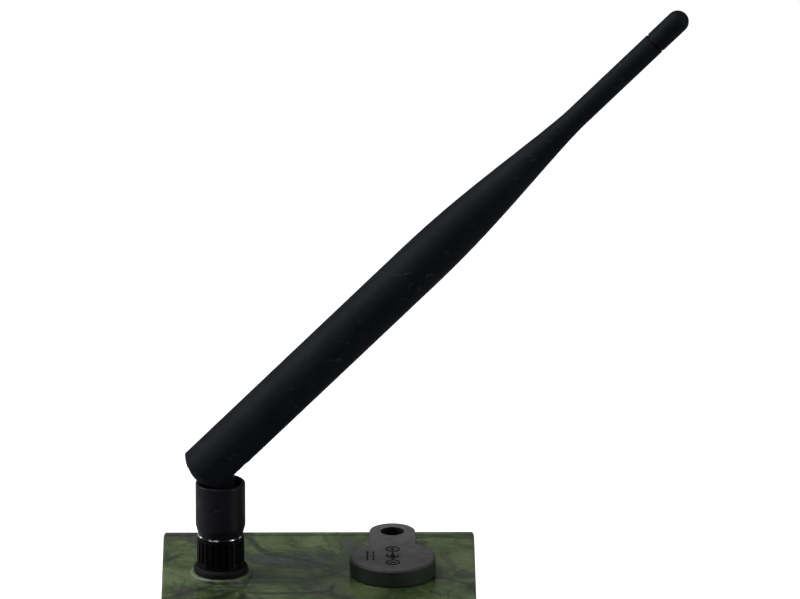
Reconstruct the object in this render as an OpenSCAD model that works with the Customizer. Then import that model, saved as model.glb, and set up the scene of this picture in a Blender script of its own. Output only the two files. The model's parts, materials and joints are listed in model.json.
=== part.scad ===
// Trail camera: a hinged weatherproof box with a folding cellular antenna on top.
// Frame: origin at the mouth of the tripod socket, bottom centre.
// +Z up, the lens looks along -Y, +X points to the side with the hinge.

/* [Case] */
// Width of the box without hinge and latch
case_w = 82; // [82:1:84]
// Height of the box
case_h = 135; // [135:1:137]
// Depth of the box without tree bracket and lens bezel
case_d = 76; // [76:1:80]
// Wall thickness of the mouldings
wall = 2.5; // [2:0.25:2.75]
// Depth of the hinged front cover
cover_d = 24.4; // [24.2:0.1:24.5]
// Thickness of the screwed back plate
plate_t = 3; // [2.5:0.5:4]

/* [Antenna] */
// Distance of the antenna axis to the left of centre
antenna_x = 25.6; // [22:0.2:27]
// Distance of the antenna axis behind centre
antenna_y = 5.8; // [4:0.1:7]
// Angle of the blade from upright as it stands
antenna_tilt = 45; // [0:5:90]
// Length of the blade from the pivot to the tip
blade_len = 170; // [150:1:190]
// Largest diameter of the blade
blade_dia = 13; // [12.6:0.1:13]
// Diameter of the slim end of the blade
tip_dia = 5.8; // [5.4:0.1:7]
// Diameter of the swivel collar
collar_dia = 13; // [12.8:0.1:13.4]
// Height of the pivot above the top of the box
pivot_h = 33.5; // [33.4:0.1:36]

/* [Port plug] */
// Distance of the plug to the right of centre
plug_x = 19.3; // [17.3:0.5:21.8]
// Diameter of the plug's disc
plug_dia = 22.5; // [22:0.5:25]
// Height of the plug's disc
plug_h = 4.7; // [4:0.1:6]
// Distance from the disc centre to the eyelet
eyelet_reach = 18.4; // [16.4:0.5:19.9]
// Width of the pull tab
tab_w = 12; // [11:0.2:13]

/* [Front] */
// Radius of the lens bezel
bezel_r = 14; // [13:0.5:15]
// Columns of infrared LEDs
led_cols = 9; // [5:2:9]
// Rows of infrared LEDs
led_rows = 4; // [2:1:4]

/* [Hidden] */
$fn = 64;

OLIVE = "#3f4833";
BLACK = "#17171a";
GREY = "#3c3e3c";
DARK = "#26282a";
STEEL = "#b9bcc0";
GOLD = "#c7a14a";
BOARD = "#1f5a3a";
PALE = "#d9dad2";

side_x = case_w / 2;
front_y = -case_d / 2;
back_y = case_d / 2;
plate_y = back_y - plate_t;
seam = 0.6;                       // gap between the case rim and the cover rim, filled by the gasket
cover_y = front_y + cover_d;
split_y = cover_y + seam;
gap = 0.15;                       // gap between mouldings that are screwed together
skin = 0.1;                       // overlap that fuses features onto a wall
rim_r = 0.9;                      // rounding of the rims at the top and the bottom
plate_bow = 1.3;                  // how far the back plate's sides bow in

// Hinge on the right side
hinge_x = side_x + 3;
hinge_y = (cover_y + split_y) / 2;
knuckle_r = 2.7;
hinge_pin_r = 1.2;
run = 0.05;                       // radial clearance of running fits
knuckle_len = 8;
knuckle_gap = 0.3;
hinge_starts = [20, 91];

// Snap latch on the left side, drawn swung out by latch_open degrees
latch_x = -side_x - 3.4;
latch_y = 4;
latch_z = case_h / 2;
latch_w = 21;
latch_open = 25;
latch_reach = latch_y - cover_y + 7.5;
ear_w = 3;

// Power contacts beside the hinge
pad_z = 65;
pad_h = 26;
pad_w = 3.8;
pad_step = 8;
contact_x = side_x - wall - 2.1;
contact_r = 0.9;

// Padlock ears on the left side
lock_x = -side_x - 5.6;
lock_z = 26;
lock_r = 3.5;
lock_t = 4;

// Tripod socket
tripod_r = 3.3;
tripod_depth = 7;
bush_r = 5.4;
bush_h = 8;

// Screws
screw_r = 1.5;
head_r = 2.7;
plate_screw_x = side_x - 7;
plate_screw_zs = [10, case_h - 10];
plate_boss_len = 14;

// Tree bracket
bracket_w = 44;
bracket_zs = [30, 112];
bracket_foot = 12;
foot_zs = [bracket_zs[0] + bracket_foot / 2, bracket_zs[1] - bracket_foot / 2];
bracket_y = back_y + 5.6;
bracket_back = back_y + 8.4;
tooth_pitch = 8;
tooth_h = 3.6;
bracket_screw_x = 14;

// Batteries: two rows of four AA cells
cell_r = 7.25;
cell_len = 50.5;
cell_nub = 1.3;
cell_pitch = 15.2;
cell_y = -0.6;
tray_wall = 1.5;
bay_len = cell_len + 2.3;
tray_z = bush_h + 1;
tray_x = 2 * cell_pitch;
tray_back = cell_y + cell_r + 0.3;
tray_h = 3 * tray_wall + 2 * bay_len;
spring_h = 1.9;
plate_gap = 0.4;

// Cellular board behind the tray
modem_y = 12;
modem_t = 1.6;
modem_post_x = 28;
modem_post_zs = [28, 108];
can_box = [[-20, modem_y + modem_t, 60], [16, modem_y + modem_t + 2.8, 96]];

// SIM card above the tray
sim_w = 15;
sim_len = 25;
sim_t = 0.8;
sim_x = -4;
sim_y = -7;
sim_z = tray_z + tray_h + 1.2;

// Antenna port and what stands on it, heights above the top face
ring_r = 7.9;
ring_h = 1.2;
seal_r = 7.1;
seal_h = 1.8;
port_r = 3.17;
nut_r = 6.15;
nut_ribs = 24;
nut_z = case_h + ring_h + seal_h + 0.2;
nut_h = 7.75;
ferrule_z = nut_z + nut_h + 0.2;
ferrule_h = 0.5;
collar_z = ferrule_z + ferrule_h;
cup_z = case_h + 25.9;
cup_depth = 3.5;
cup_wall = 1;
tongue_w = 7.3;
tongue_t = 5;
pin_r = 1.45;
pivot_z = case_h + pivot_h;
ball_r = 9.2;
blade_r = blade_dia / 2;
tip_r = tip_dia / 2;
slot_clear = 0.3;
cap_len = 10.9;
groove_w = 0.45;
neck_r = 2.3;
slim_len = 40.5;                  // slim part, from the tip
flare_len = 56;                   // stretch over which the blade grows to full diameter

// Port plug and the socket below it
plug_y = 6.8;
well_r = 9.2;
well_depth = 12;
well_wall = 1.8;
bung_len = 6;
tab_t = 3;
eyelet_r = 3.1;
jack_r = 4.5;
jack_h = 8.4;
jack_z = case_h - well_depth - 3.4;

// Front cover
chamfer = 8;
face_t = 3.5;
face_in = front_y + face_t;
ir_z = 104;
ir_w = 62;
ir_h = 42;
lens_z = 64;
pir_z = 27;
status_z = 45;
led_y = -26;
led_pitch = 6.2;
led_r = 2.5;
board_y = -22;
board_t = 1.6;
board_back = board_y + board_t;

// Inner panel of the cover, seen when the cover is open
panel_y = cover_y - 3;
panel_t = 2;
panel_face = panel_y + panel_t;
panel_x = side_x - wall - 0.4;
panel_screw_x = side_x - 6;
post_y = front_y + chamfer - 2.5;
panel_screw_zs = [9, case_h - 7];
lcd_z = 92;
lcd_w = 42;
lcd_h = 32;
key_x = 19;
key_z = 44;
key_step = 11;
key_size = 7.6;
key_rise = 0.7;
key_back = board_back + 2;
switch_z = 121;
card_z = 21;
card_x = -15;
card_y = board_back + 1.1;
usb_x = 6;
pocket = [[-30, 8], [14, 24]];

// ---------- shapes ----------

module box(a, b) {
    translate(a) cube(b - a);
}

module tube_z(r, z0, z1, x = 0, y = 0) {
    translate([x, y, z0]) cylinder(r = r, h = z1 - z0);
}

module tube_y(r, y0, y1, x = 0, z = 0) {
    translate([x, y1, z]) rotate([90, 0, 0]) cylinder(r = r, h = y1 - y0);
}

// Block of width w and height h about (x, z), between two depths
module centred_y(w, h, y0, y1, x, z) {
    box([x - w / 2, y0, z - h / 2], [x + w / 2, y1, z + h / 2]);
}

// What lies outside the rounded edge from a to b, for an outline that runs clockwise from above
module rim_cut(a, b, z, up) {
    arc = quarter(4, rim_r, 0, 90);
    translate([a[0], a[1], z])
        rotate([0, 0, atan2(b[1] - a[1], b[0] - a[0])])
        rotate([90, 0, 90])
        translate([0, 0, -1])
        linear_extrude(norm(b - a) + 2)
        polygon(concat(
            [[-rim_r, up], [1, up], [1, -up * rim_r]],
            [for (q = arc) [q[0] - rim_r, up * (q[1] - rim_r)]]
        ));
}

module rounded_rims(path, low, high) {
    for (i = [0 : len(path) - 2]) {
        rim_cut(path[i], path[i + 1], low, -1);
        rim_cut(path[i], path[i + 1], high, 1);
    }
}

// Half-cylinder cap joined to a wall: an ear with a round end
module ear_z(x, y, r, z0, z1, wall_x) {
    tube_z(r, z0, z1, x, y);
    box([min(x, wall_x), y - r + 0.02, z0], [max(x, wall_x), y + r - 0.02, z1]);
}

// Arc of radius r in n steps
function quarter(n, r, from, to) =
    [for (i = [0 : n]) let (a = from + (to - from) * i / n) [r * cos(a), r * sin(a)]];

// Pan-head screw along Y, head towards +Y at y
module screw_y(x, y, z, len) {
    tube_y(screw_r, y - len, y + 0.2, x, z);
    difference() {
        tube_y(head_r, y, y + 1.6, x, z);
        box([x - 0.35, y + 0.8, z - 1.8], [x + 0.35, y + 2, z + 1.8]);
        box([x - 1.8, y + 0.8, z - 0.35], [x + 1.8, y + 2, z + 0.35]);
    }
}

// ---------- swept leads ----------

function smooth_point(p, i, t) =
    let (
        a = p[max(i - 1, 0)],
        b = p[i],
        c = p[i + 1],
        d = p[min(i + 2, len(p) - 1)]
    ) 0.5 * (2 * b + (c - a) * t + (2 * a - 5 * b + 4 * c - d) * t * t + (3 * b - a - 3 * c + d) * t * t * t);
function smooth_path(p, n) = concat(
    [for (i = [0 : len(p) - 2], k = [0 : n - 1]) smooth_point(p, i, k / n)],
    [p[len(p) - 1]]
);
function unit(v) = v / norm(v);
function heading(q, i) = unit(q[min(i + 1, len(q) - 1)] - q[max(i - 1, 0)]);

// Round lead of radius r along the smoothed route
module lead(route, r, sides = 8) {
    q = smooth_path(route, 4);
    n = len(q);
    pts = [for (i = [0 : n - 1]) let (
        t = heading(q, i),
        u = unit(cross(t, [1, 0, 0])),
        v = cross(t, u)
    ) for (k = [0 : sides - 1]) q[i] + r * (cos(360 * k / sides) * u + sin(360 * k / sides) * v)];
    walls = [for (i = [0 : n - 2], k = [0 : sides - 1]) let (m = (k + 1) % sides)
        [i * sides + k, i * sides + m, (i + 1) * sides + m, (i + 1) * sides + k]];
    caps = [[for (k = [sides - 1 : -1 : 0]) k], [for (k = [0 : sides - 1]) (n - 1) * sides + k]];
    polyhedron(points = pts, faces = concat(walls, caps));
}

// Coax from the antenna port over the tray to the modem's shield
coax_route = [[-antenna_x, antenna_y, 123.4], [-antenna_x, antenna_y + 1.2, 121.6], [-25.4, 12, 120.4],
              [-25, 17, 117], [-23, 20, 111], [-18, 20.5, 104], [-14, 19.5, 96], [-13, 17.6, 91]];
coax_r = 0.9;
// Supply lead from the socket to the cellular board
power_route = [[plug_x, 12, 120.3], [plug_x, 15, 119.6], [18.6, 18, 116], [18, 18.5, 111], [18, 17, 106],
               [18, 14.6, 103]];
power_r = 0.9;

// ---------- rear case and what is fixed to it ----------

module hinge_barrels(starts, y_side) {
    for (z = starts) {
        tube_z(knuckle_r, z, z + knuckle_len, hinge_x, hinge_y);
        box([side_x - skin, min(hinge_y + y_side * 0.5, hinge_y + y_side * 2.6), z],
            [hinge_x, max(hinge_y + y_side * 0.5, hinge_y + y_side * 2.6), z + knuckle_len]);
    }
}

module hinge_bore(z) {
    tube_z(hinge_pin_r + run, z - 1, z + 3 * knuckle_len + 2, hinge_x, hinge_y);
}

case_knuckles = [for (z = hinge_starts, k = [0, 2]) z + k * (knuckle_len + knuckle_gap)];
cover_knuckles = [for (z = hinge_starts) z + knuckle_len + knuckle_gap];

module rear_case() {
    color(OLIVE)
    difference() {
        union() {
            difference() {
                box([-side_x, split_y, 0], [side_x, plate_y - gap, case_h]);
                box([-side_x + wall, split_y - 1, wall], [side_x - wall, plate_y + 1, case_h - wall]);
            }
            port_ring();
            tube_z(well_r + well_wall, case_h - well_depth - 1.6, case_h - wall + skin, plug_x, plug_y);
            tube_z(bush_r + 2, 0, bush_h, 0, 0);
            for (x = [-1, 1]) box([x * 20 - 1.2, cell_y - 4, wall - skin], [x * 20 + 1.2, tray_back, tray_z]);
            for (x = [-1, 1], z = plate_screw_zs)
                tube_y(3.4, plate_y - plate_boss_len, plate_y - gap, x * plate_screw_x, z);
            for (x = [-1, 1], z = plate_screw_zs)
                box([min(x * plate_screw_x, x * (side_x - 1)), plate_y - plate_boss_len, z - 1.2],
                    [max(x * plate_screw_x, x * (side_x - 1)), plate_y - gap, z + 1.2]);
            hinge_barrels(case_knuckles, 1);
            for (z = [latch_z - latch_w / 2 - ear_w - 0.3, latch_z + latch_w / 2 + 0.3])
                ear_z(latch_x, latch_y, 2.4, z, z + ear_w, -side_x + skin);
            box([lock_x - 5.4, split_y, lock_z - 8], [-side_x + skin, split_y + lock_t, lock_z + 8]);
        }
        tube_z(port_r + 0.1, case_h - wall - 1, case_h + ring_h + 1, -antenna_x, antenna_y);
        tube_z(well_r, case_h - well_depth, case_h + 1, plug_x, plug_y);
        tube_z(jack_r - 0.4, case_h - well_depth - 3, case_h - well_depth + 1, plug_x, plug_y);
        tube_z(bush_r, -1, bush_h + 1, 0, 0);
        for (x = [-1, 1], z = plate_screw_zs)
            tube_y(screw_r, plate_y - plate_boss_len + 2, plate_y + 1, x * plate_screw_x, z);
        for (z = hinge_starts) hinge_bore(z);
        tube_z(hinge_pin_r + run, latch_z - latch_w, latch_z + latch_w, latch_x, latch_y);
        tube_y(lock_r, split_y - 1, split_y + lock_t + 1, lock_x, lock_z);
        gasket_ring(split_y - 1, split_y + 0.8, 0.7);
        rounded_rims([[-side_x, split_y], [-side_x, plate_y]], 0, case_h);
        rounded_rims([[side_x, plate_y], [side_x, split_y]], 0, case_h);
    }
}

// Raised ring with a rounded lip round the antenna port
module port_ring() {
    lip = 0.5;
    translate([-antenna_x, antenna_y, case_h])
    rotate_extrude() polygon(concat(
        [[0, -skin], [ring_r, -skin]],
        [for (q = quarter(4, lip, 0, 90)) [ring_r - lip + q[0], ring_h - lip + q[1]]],
        [[0, ring_h]]
    ));
}

// Rectangular ring that runs round the rim, half-width t
module gasket_ring(y0, y1, t) {
    mid = side_x - wall / 2;
    difference() {
        box([-mid - t, y0, wall / 2 - t], [mid + t, y1, case_h - wall / 2 + t]);
        box([-mid + t, y0 - 1, wall / 2 + t], [mid - t, y1 + 1, case_h - wall / 2 - t]);
    }
}

module case_gasket() {
    color(BLACK) gasket_ring(cover_y + 0.05, split_y + 0.75, 0.65);
}

module back_plate() {
    color(OLIVE)
    difference() {
        linear_extrude(case_h) polygon(concat(
            [for (q = quarter(6, 1, 0, 90)) [-side_x + plate_bow * (1 - q[0]), plate_y + plate_t * q[1]]],
            [for (q = quarter(6, 1, 90, 0)) [side_x - plate_bow * (1 - q[0]), plate_y + plate_t * q[1]]]
        ));
        for (x = [-1, 1], z = plate_screw_zs) {
            tube_y(screw_r + 0.2, plate_y - 1, back_y + 1, x * plate_screw_x, z);
            tube_y(head_r + 0.3, back_y - 1.8, back_y + 1, x * plate_screw_x, z);
        }
        for (x = [-1, 1], z = foot_zs) tube_y(screw_r, plate_y - 1, back_y + 1, x * bracket_screw_x, z);
        rounded_rims(
            [[-side_x, plate_y], [-side_x, back_y], [side_x, back_y], [side_x, plate_y]], 0, case_h);
    }
}

module back_plate_screws() {
    color(STEEL)
    for (x = [-1, 1], z = plate_screw_zs) screw_y(x * plate_screw_x, back_y - 1.7, z, 11);
}

module tree_bracket() {
    color(DARK)
    difference() {
        union() {
            box([-bracket_w / 2, bracket_y, bracket_zs[0]], [bracket_w / 2, bracket_back, bracket_zs[1]]);
            for (z = foot_zs)
                centred_y(bracket_w, bracket_foot, back_y, bracket_back, 0, z);
            for (x = [-bracket_w / 2, bracket_w / 2 - 4]) bark_teeth(x, 4);
        }
        for (x = [-1, 1], z = foot_zs) {
            tube_y(screw_r + 0.2, back_y - 1, bracket_back + 9, x * bracket_screw_x, z);
            tube_y(head_r + 0.3, back_y + 3, bracket_back + 9, x * bracket_screw_x, z);
        }
    }
}

// Saw-tooth strip that grips bark, standing out behind the bracket
module bark_teeth(x, w) {
    root = 0.6;
    low = bracket_zs[0];
    count = floor((bracket_zs[1] - low - 1) / tooth_pitch);
    outline = concat(
        [[bracket_back - skin, low]],
        [for (i = [0 : count - 1], k = [[0.05, root], [0.55, tooth_h]])
            [bracket_back + k[1], low + (i + k[0]) * tooth_pitch]],
        [[bracket_back + root, bracket_zs[1] - 0.5], [bracket_back - skin, bracket_zs[1]]]
    );
    translate([x, 0, 0]) rotate([90, 0, 90]) linear_extrude(w) polygon(outline);
}

module bracket_screws() {
    color(STEEL)
    for (x = [-1, 1], z = foot_zs) screw_y(x * bracket_screw_x, back_y + 3, z, 7.5);
}

module tripod_bush() {
    color(GOLD)
    difference() {
        tube_z(bush_r - 0.02, 0, bush_h, 0, 0);
        tube_z(tripod_r, -1, tripod_depth, 0, 0);
    }
}

module hinge_pins() {
    reach = 3 * knuckle_len + 2 * knuckle_gap;
    color(STEEL)
    for (z = hinge_starts) tube_z(hinge_pin_r, z + 0.3, z + reach - 0.3, hinge_x, hinge_y);
}

module latch_pin() {
    half = latch_w / 2 + ear_w;
    color(STEEL) tube_z(hinge_pin_r, latch_z - half, latch_z + half, latch_x, latch_y);
}

// Clip outline seen from above, pivot at the origin, nose pointing to -Y
module clip_outline() {
    polygon([
        [-1.4, 0], [0.8, 0], [0.8, 2.4 - latch_reach], [2.5, 2.4 - latch_reach], [2.9, 1 - latch_reach],
        [0.4, -latch_reach], [-2.6, -latch_reach - 2.2], [-4, -latch_reach - 1.6], [-1.8, 1.6 - latch_reach]
    ]);
}

module latch_clip() {
    color(DARK)
    translate([latch_x, latch_y, latch_z - latch_w / 2])
    rotate([0, 0, -latch_open])
    difference() {
        union() {
            cylinder(r = 2.4, h = latch_w);
            linear_extrude(latch_w) clip_outline();
            for (k = [0 : 3]) translate([-1.7, -11 - 2.4 * k, 2]) cube([0.6, 1.1, latch_w - 4]);
        }
        translate([0, 0, -1]) cylinder(r = hinge_pin_r + run, h = latch_w + 2);
    }
}

module contact_pads() {
    inner = side_x - wall;
    color(GOLD)
    box([inner - pad_w, split_y, pad_z - pad_h / 2], [inner, split_y + 6, pad_z + pad_h / 2]);
}

// ---------- batteries ----------

module battery_tray() {
    tray_top = tray_z + tray_h;
    color(DARK)
    difference() {
        union() {
            box([-tray_x - tray_wall, cell_y - 4.4, tray_z],
                [tray_x + tray_wall, tray_back + tray_wall, tray_top]);
            for (x = [-1, 1], z = modem_post_zs) tube_y(2.4, tray_back, modem_y, x * modem_post_x, z);
            box([sim_x - 9, tray_back, tray_top - tray_wall], [sim_x + 9, sim_y + sim_len + 1, tray_top]);
        }
        for (row = [0, 1])
            box([-tray_x, cell_y - 9, bay_z(row)], [tray_x, tray_back, bay_z(row) + bay_len]);
    }
}

function bay_z(row) = tray_z + tray_wall + row * (bay_len + tray_wall);
cell_cols = [-1.5, -0.5, 0.5, 1.5];
function cell_up(col, row) = (round(col + 1.5) + row) % 2 == 0;

// One AA cell standing on its flat end at the origin
module aa_cell() {
    body = cell_len - cell_nub;
    rotate_extrude() polygon([
        [0, 0], [cell_r - 0.6, 0], [cell_r, 0.6], [cell_r, body - 0.8], [cell_r - 0.8, body],
        [2.75, body], [2.75, cell_len], [0, cell_len]
    ]);
}

module battery_cells() {
    color(STEEL)
    for (col = cell_cols, row = [0, 1]) {
        low = bay_z(row) + (cell_up(col, row) ? spring_h : plate_gap);
        translate([col * cell_pitch, cell_y, low])
            if (cell_up(col, row)) aa_cell();
            else translate([0, 0, cell_len]) mirror([0, 0, 1]) aa_cell();
    }
}

// Conical spring at the flat end, plate at the nub end of every cell
module battery_contacts() {
    color(STEEL)
    for (col = cell_cols, row = [0, 1]) {
        x = col * cell_pitch;
        z0 = bay_z(row);
        z1 = z0 + bay_len;
        up = cell_up(col, row);
        translate([x, cell_y, up ? z0 : z1 - spring_h + 0.05])
            cylinder(r1 = up ? 4.4 : 2.6, r2 = up ? 2.6 : 4.4, h = spring_h - 0.05);
        box([x - 4.5, cell_y - 4.5, up ? z1 - 0.35 : z0], [x + 4.5, cell_y + 4.5, up ? z1 : z0 + 0.35]);
    }
}

// ---------- cellular board, SIM, antenna port, power socket ----------

module modem_board() {
    color(BOARD)
    difference() {
        box([-33, modem_y, 24], [33, modem_y + modem_t, 112]);
        for (x = [-1, 1], z = modem_post_zs) tube_y(1.2, modem_y - 1, modem_y + 3, x * modem_post_x, z);
    }
}

module modem_module() {
    color(STEEL) box(can_box[0], can_box[1]);
}

module sim_holder() {
    slack = 0.2;
    half = sim_w / 2 + slack;
    color(STEEL)
    difference() {
        box([sim_x - 8.4, sim_y + 4, sim_z - 1.1], [sim_x + 8.4, sim_y + sim_len + 1, sim_z + 1.8]);
        box([sim_x - half, sim_y, sim_z - slack],
            [sim_x + half, sim_y + sim_len + slack, sim_z + sim_t + slack]);
    }
}

module sim_card() {
    half = sim_w / 2;
    color(PALE)
    translate([sim_x, sim_y, sim_z]) linear_extrude(sim_t)
        polygon([[-half, 0], [half, 0], [half, sim_len], [3 - half, sim_len], [-half, sim_len - 3]]);
}

module antenna_port() {
    color(GOLD)
    translate([-antenna_x, antenna_y, 0])
    difference() {
        union() {
            tube_z(port_r, case_h - wall - 8.6, ferrule_z - 1.6);
            tube_z(1.6, case_h - wall - 8.9, case_h - wall - 8);
        }
        tube_z(2.2, case_h + 7.5, case_h + 11);
        tube_z(0.5, case_h + 4, case_h + 9);
    }
}

module port_nut() {
    color(GOLD)
    translate([-antenna_x, antenna_y, case_h - wall - 2.4])
    difference() {
        cylinder(r = 4.7, h = 2.3, $fn = 6);
        translate([0, 0, -1]) cylinder(r = port_r + 0.02, h = 5);
    }
}

module port_seal() {
    color(GREY)
    translate([-antenna_x, antenna_y, case_h + ring_h])
    rotate_extrude() polygon([
        [port_r + 0.02, 0], [seal_r, 0], [seal_r, seal_h - 0.5], [seal_r - 0.5, seal_h],
        [port_r + 0.02, seal_h]
    ]);
}

module antenna_lead() {
    color(BLACK) lead(coax_route, coax_r);
}

module power_lead() {
    color("#7a2020") lead(power_route, power_r);
}

module dc_jack() {
    color(BLACK)
    difference() {
        union() {
            tube_z(jack_r - 0.45, jack_z, jack_z + jack_h, plug_x, plug_y);
            tube_z(jack_r + 0.6, jack_z, case_h - well_depth - 1.65, plug_x, plug_y);
        }
        difference() {
            tube_z(2.85, jack_z + 1.4, jack_z + jack_h + 1, plug_x, plug_y);
            tube_z(1.05, jack_z, jack_z + jack_h - 1, plug_x, plug_y);
        }
    }
}

module port_plug() {
    base = case_h + 0.05;
    neck = well_r - 0.5;
    lip = well_r - run;
    color(GREY)
    difference() {
        union() {
            translate([plug_x, plug_y, base]) rotate_extrude() polygon([
                [0, 0.5 - bung_len], [0.5, -bung_len], [well_r - 1.2, -bung_len], [neck, 0.6 - bung_len],
                [neck, 1.6 - bung_len], [lip, 2 - bung_len], [lip, 2.6 - bung_len], [neck, 3 - bung_len],
                [neck, -1.6], [lip, -1.2], [lip, 0], [plug_dia / 2 - 0.3, 0], [plug_dia / 2, 0.3],
                [plug_dia / 2, plug_h - 0.5], [plug_dia / 2 - 0.5, plug_h], [0, plug_h]
            ]);
            box([plug_x - tab_w / 2 + 0.05, plug_y + 2, base + plug_h - tab_t],
                [plug_x + tab_w / 2 - 0.05, plug_y + eyelet_reach, base + plug_h]);
            tube_z(tab_w / 2, base + plug_h - tab_t, base + plug_h, plug_x, plug_y + eyelet_reach);
        }
        tube_z(eyelet_r, base - 1, base + plug_h + 1, plug_x, plug_y + eyelet_reach);
    }
}

// ---------- antenna ----------

module at_antenna() {
    translate([-antenna_x, antenna_y, 0]) children();
}

module antenna_nut() {
    rib = 0.35;
    outline = [for (i = [0 : nut_ribs - 1], k = [0 : 3]) let (
        a = (i + [0, 0.12, 0.5, 0.62][k]) * 360 / nut_ribs,
        r = k == 0 || k == 3 ? nut_r - rib : nut_r
    ) [r * cos(a), r * sin(a)]];
    color(BLACK)
    at_antenna()
    difference() {
        union() {
            tube_z(nut_r - 0.1, nut_z, nut_z + 1.1);
            tube_z(nut_r - 0.1, nut_z + nut_h - 0.8, nut_z + nut_h);
            translate([0, 0, nut_z + 1]) linear_extrude(nut_h - 1.7) polygon(outline);
        }
        tube_z(port_r + 0.08, nut_z - 1, nut_z + nut_h + 1);
    }
}

module antenna_ferrule() {
    color(STEEL)
    at_antenna() {
        rotate_extrude() polygon([
            [0, ferrule_z - 1], [2.8, ferrule_z - 1], [2.8, ferrule_z], [nut_r - 0.35, ferrule_z],
            [nut_r - 0.2, ferrule_z + 0.15], [nut_r - 0.2, collar_z], [0, collar_z]
        ]);
    }
}

module antenna_collar() {
    r = collar_dia / 2;
    color(BLACK)
    at_antenna()
    difference() {
        union() {
            rotate_extrude() polygon([
                [0, collar_z], [r - 0.7, collar_z], [r - 0.15, collar_z + 2], [r, collar_z + 2.6],
                [r, cup_z - 0.3], [r - 0.3, cup_z], [r - cup_wall + 0.2, cup_z], [r - cup_wall, cup_z - 0.2],
                [r - cup_wall, cup_z - cup_depth], [0, cup_z - cup_depth]
            ]);
            box([-tongue_w / 2 + 0.02, -tongue_t / 2, cup_z - cup_depth - 1],
                [tongue_w / 2 - 0.02, tongue_t / 2, pivot_z]);
            tube_y(tongue_w / 2, -tongue_t / 2, tongue_t / 2, 0, pivot_z);
        }
        tube_y(pin_r + run, -tongue_t, tongue_t, 0, pivot_z);
    }
}

// Puts the upright blade, pivot at the origin, where it stands
module at_blade() {
    translate([-antenna_x, antenna_y, pivot_z]) rotate([0, antenna_tilt, 0]) children();
}

module antenna_pivot_pin() {
    color(DARK) at_blade() tube_y(pin_r, -blade_r + 0.12, blade_r - 0.12);
}

// Radius of the blade at distance s from the tip
function blade_at(s) =
    let (u = min(1, max(0, (s - slim_len) / flare_len)))
    tip_r + (blade_r - tip_r) * pow(sin(90 * u), 1.3);

module antenna_blade() {
    steps = 14;
    ball_from = -90;
    ball_to = -acos(blade_r / ball_r);
    flare = [for (i = [0 : steps])
        let (s = slim_len + flare_len * (1 - i / steps)) [blade_at(s), blade_len - s]];
    color(BLACK)
    at_blade()
    difference() {
        union() {
            rotate_extrude() polygon(concat(
                quarter(8, ball_r, ball_from, ball_to),
                flare,
                [[tip_r, blade_len - cap_len - groove_w], [0, blade_len - cap_len - groove_w]]
            ));
            tube_z(neck_r, blade_len - cap_len - 1, blade_len - cap_len + 3);
        }
        box([-tongue_w / 2 - slot_clear, -tongue_t / 2 - slot_clear, -ball_r - 2],
            [ball_r + 2, tongue_t / 2 + slot_clear, tongue_w / 2 + slot_clear]);
        tube_y(pin_r + 0.02, -blade_r - 1, blade_r + 1);
        tube_z(1.7, 8, blade_len - 16);
    }
}

module antenna_tip() {
    foot = blade_len - cap_len;
    color(BLACK)
    at_blade()
    difference() {
        rotate_extrude() polygon(concat(
            [[0, foot], [tip_r - 0.2, foot], [tip_r, foot + 0.3]],
            [for (p = quarter(8, tip_r, 0, 90)) [max(0, p[0]), blade_len - tip_r + p[1]]]
        ));
        tube_z(neck_r + 0.02, foot - 1, foot + 3.2);
    }
}

// Loaded whip: a wound lower stretch and a plain upper rod
module antenna_radiator() {
    turns = 16;
    coil_z = 12;
    pitch = 3.2;
    wound = [for (i = [0 : turns - 1], k = [0 : 3])
        [[0.8, 1.5, 1.5, 0.8][k], coil_z + (i + [0.1, 0.25, 0.6, 0.75][k]) * pitch]];
    rod_top = blade_len - 18;
    color(GOLD)
    at_blade()
    rotate_extrude() polygon(concat([[0, 8.4], [0.8, 8.4]], wound, [[0.8, rod_top], [0, rod_top]]));
}

// ---------- front cover ----------

// Plan of the cover, clockwise from above; t is how far it lies inside the outer face
function cover_plan(t, back) =
    let (x = side_x - t, y = front_y + (t == 0 ? 0 : face_t), c = chamfer - t * 0.4)
    [[-x, back], [x, back], [x, y + c], [x - c, y], [c - x, y], [-x, y + c]];

module at_chamfer(side) {
    translate([side * (side_x - chamfer / 2), front_y + chamfer / 2, pir_z])
        rotate([0, 0, side * 45]) children();
}

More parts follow.
